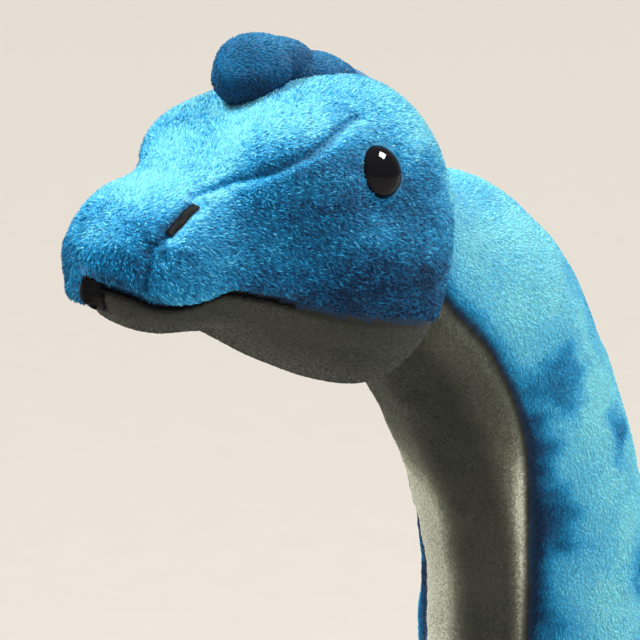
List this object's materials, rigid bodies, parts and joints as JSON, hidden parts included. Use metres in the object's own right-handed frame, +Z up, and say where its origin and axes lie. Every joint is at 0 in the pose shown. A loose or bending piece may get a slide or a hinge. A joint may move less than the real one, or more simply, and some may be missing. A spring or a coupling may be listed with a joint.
{
  "type": "stuffed dinosaur",
  "caption": "Standing long-necked dinosaur soft toy with a raised crest, sewn from short-pile plush panels over fibre filling, with bending neck, nodding head, wagging tail and swinging legs.",
  "frame": {"origin": "on the ground under the middle of the toy's box", "axes": "+Z up, nose along -Y, the animal's left side along +X"},
  "size_m": [0.121, 0.5258, 0.3945],
  "materials": {
    "blue_plush": "short pile",
    "grey_plush": "short pile",
    "navy_plush": "short pile",
    "fibre_filling": "loose fibre",
    "pellet_pouch": "thin cloth over pellets",
    "eye_plastic": "polished",
    "washer_plastic": "moulded",
    "black_thread": "satin stitch",
    "blue_thread": "matt thread",
    "label_cloth": "satin ribbon"
  },
  "bodies": {
    "torso": {"belly_panel": "grey_plush", "blank_label": "label_cloth", "closing_stitches": "blue_thread", "torso_filling": "fibre_filling", "torso_side_panel_left": "blue_plush", "torso_side_panel_right": "blue_plush"},
    "neck": {"neck_filling": "fibre_filling", "neck_front_strip": "grey_plush", "neck_side_panel_left": "blue_plush", "neck_side_panel_right": "blue_plush"},
    "head": {"crest_filling": "fibre_filling", "crest_panel": "navy_plush", "eye_left": "eye_plastic", "eye_right": "eye_plastic", "eye_washer_left": "washer_plastic", "eye_washer_right": "washer_plastic", "head_filling": "fibre_filling", "head_side_panel_left": "blue_plush", "head_side_panel_right": "blue_plush", "head_top_gusset": "blue_plush", "lower_jaw_panel": "grey_plush", "mouth_stitches": "black_thread", "nostril_stitches_left": "black_thread", "nostril_stitches_right": "black_thread"},
    "tail": {"tail_filling": "fibre_filling", "tail_side_panel_left": "blue_plush", "tail_side_panel_right": "blue_plush", "tail_underside_panel": "grey_plush"},
    "leg_front_left": {"leg_front_left_filling": "fibre_filling", "leg_front_left_inner_panel": "blue_plush", "leg_front_left_outer_panel": "blue_plush", "leg_front_left_pellet_pouch": "pellet_pouch", "leg_front_left_sole": "grey_plush"},
    "leg_front_right": {"leg_front_right_filling": "fibre_filling", "leg_front_right_inner_panel": "blue_plush", "leg_front_right_outer_panel": "blue_plush", "leg_front_right_pellet_pouch": "pellet_pouch", "leg_front_right_sole": "grey_plush"},
    "leg_hind_left": {"leg_hind_left_filling": "fibre_filling", "leg_hind_left_inner_panel": "blue_plush", "leg_hind_left_outer_panel": "blue_plush", "leg_hind_left_pellet_pouch": "pellet_pouch", "leg_hind_left_sole": "grey_plush"},
    "leg_hind_right": {"leg_hind_right_filling": "fibre_filling", "leg_hind_right_inner_panel": "blue_plush", "leg_hind_right_outer_panel": "blue_plush", "leg_hind_right_pellet_pouch": "pellet_pouch", "leg_hind_right_sole": "grey_plush"}
  },
  "joints": [
    {"name": "neck_bend", "type": "hinge", "parent": "torso", "child": "neck", "pos_m": [0, -0.08, 0.164], "axis": [1, 0, 0], "range_deg": [-11, 10], "stiffness_Nm_per_rad": 5},
    {"name": "head_nod", "type": "hinge", "parent": "neck", "child": "head", "pos_m": [0, -0.174, 0.343], "axis": [1, 0, 0], "range_deg": [-15, 12], "stiffness_Nm_per_rad": 1.5},
    {"name": "tail_wag", "type": "hinge", "parent": "torso", "child": "tail", "pos_m": [0, 0.1, 0.138], "axis": [0, 0, 1], "range_deg": [-22, 22], "stiffness_Nm_per_rad": 1},
    {"name": "leg_front_left_swing", "type": "hinge", "parent": "torso", "child": "leg_front_left", "pos_m": [0.038, -0.058, 0.098], "axis": [1, 0, 0], "range_deg": [-14, 14], "stiffness_Nm_per_rad": 2},
    {"name": "leg_front_right_swing", "type": "hinge", "parent": "torso", "child": "leg_front_right", "pos_m": [-0.038, -0.058, 0.098], "axis": [1, 0, 0], "range_deg": [-14, 14], "stiffness_Nm_per_rad": 2},
    {"name": "leg_hind_left_swing", "type": "hinge", "parent": "torso", "child": "leg_hind_left", "pos_m": [0.038, 0.058, 0.098], "axis": [1, 0, 0], "range_deg": [-14, 14], "stiffness_Nm_per_rad": 2},
    {"name": "leg_hind_right_swing", "type": "hinge", "parent": "torso", "child": "leg_hind_right", "pos_m": [-0.038, 0.058, 0.098], "axis": [1, 0, 0], "range_deg": [-14, 14], "stiffness_Nm_per_rad": 2}
  ]
}
